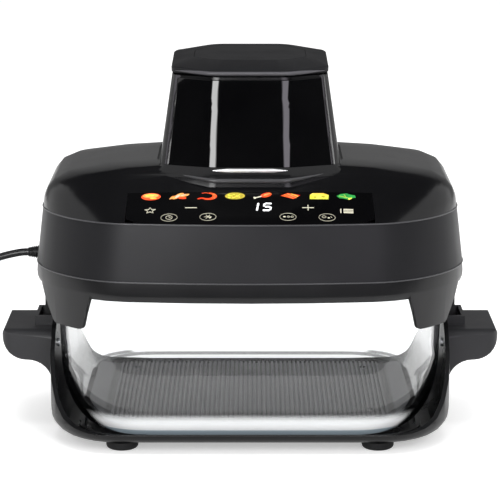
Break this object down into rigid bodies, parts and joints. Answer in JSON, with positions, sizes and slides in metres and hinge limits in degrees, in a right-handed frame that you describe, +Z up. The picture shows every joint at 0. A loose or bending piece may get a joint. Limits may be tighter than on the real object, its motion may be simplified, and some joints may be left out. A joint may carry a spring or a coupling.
{
  "type": "halogen oven",
  "caption": "Rounded glass cooking bowl in a moulded cradle with side handles, under a lift-off lid with heater, fan and touch panel.",
  "frame": {"origin": "on the table, under the middle of the oven without its cord", "axes": "+X to the right as seen from the front, +Y to the back, +Z up"},
  "size_m": [0.5679, 0.2812, 0.319],
  "materials": {
    "moulded_black": "fine moulded grain, satin",
    "housing_black": "satin",
    "panel_gloss": "high gloss",
    "cap_grey": "matte",
    "foot_rubber": "matte",
    "silicone": "matte",
    "screw_steel": "zinc plated",
    "bowl_glass": "clear, polished",
    "plate_coating": "non-stick coating, satin",
    "heater_steel": "bright rolled sheet",
    "shield_sheet": "dull rolled sheet",
    "quartz": "clear, polished",
    "filament_wire": "drawn wire",
    "ceramic": "unglazed ceramic, matte",
    "circuit_board": "solder mask, satin",
    "display_black": "gloss",
    "core_steel": "stacked sheet",
    "shaft_steel": "ground",
    "copper": "varnished wire",
    "bronze": "sintered",
    "fan_aluminium": "pressed sheet",
    "white_plastic": "satin",
    "switch_plastic": "matte",
    "cord_sheath": "satin",
    "plug_plastic": "fine grain",
    "pin_brass": "polished"
  },
  "bodies": {
    "base": {"cradle": "moulded_black", "left_handle": "moulded_black", "right_handle": "moulded_black", "handle_screws": "screw_steel", "bowl_pads": "silicone", "foot_front_left": "foot_rubber", "foot_front_right": "foot_rubber", "foot_rear_left": "foot_rubber", "foot_rear_right": "foot_rubber", "foot_screws": "screw_steel"},
    "bowl": {"glass_bowl": "bowl_glass"},
    "plate": {"crisper_plate": "plate_coating", "plate_bumpers": "silicone"},
    "lid": {"lid_skirt": "moulded_black", "left_post": "moulded_black", "right_post": "moulded_black", "lid_housing": "housing_black", "top_cover": "housing_black", "tower_shell": "housing_black", "tower_front_panel": "panel_gloss", "tower_cap": "cap_grey", "cap_inlay": "cap_grey", "touch_panel": "panel_gloss", "touch_board": "circuit_board", "display_module": "display_black", "heater_pan": "heater_steel", "pan_screws": "screw_steel", "bowl_seal": "silicone", "heater_guard": "heater_steel", "halogen_tube": "quartz", "lamp_filament": "filament_wire", "lamp_end_caps": "ceramic", "lamp_hangers": "heater_steel", "temperature_probe": "heater_steel", "thermal_cutout": "ceramic", "heat_shield": "shield_sheet", "motor_bracket": "heater_steel", "motor_core": "core_steel", "motor_coil": "copper", "motor_bushes": "bronze", "power_board": "circuit_board", "micro_switch": "switch_plastic", "plunger_spring": "shaft_steel", "strain_relief": "cord_sheath", "mains_cord": "cord_sheath", "cord_coil": "cord_sheath", "mains_plug": "plug_plastic", "plug_pins": "pin_brass", "cord_tie": "plug_plastic"},
    "fan_rotor": {"hot_air_fan": "fan_aluminium", "cooling_fan": "white_plastic", "motor_shaft": "shaft_steel"},
    "plunger": {"interlock_plunger": "white_plastic"}
  },
  "joints": [
    {"name": "bowl_lift", "type": "slide", "parent": "base", "child": "bowl", "axis": [0, 0, 1], "range_m": [0, 0.11]},
    {"name": "plate_lift", "type": "slide", "parent": "bowl", "child": "plate", "axis": [0, 0, 1], "range_m": [0, 0.11]},
    {"name": "lid_lift", "type": "slide", "parent": "bowl", "child": "lid", "axis": [0, 0, 1], "range_m": [0, 0.15]},
    {"name": "fan_spin", "type": "hinge", "parent": "lid", "child": "fan_rotor", "pos_m": [0, 0, 0.2], "axis": [0, 0, 1], "continuous": true},
    {"name": "plunger_travel", "type": "slide", "parent": "lid", "child": "plunger", "axis": [0, 0, 1], "range_m": [-0.004, 0]}
  ],
  "couplings": [
    {"joint": "plunger_travel", "follows": "lid_lift", "ratio": -0.0266}
  ]
}
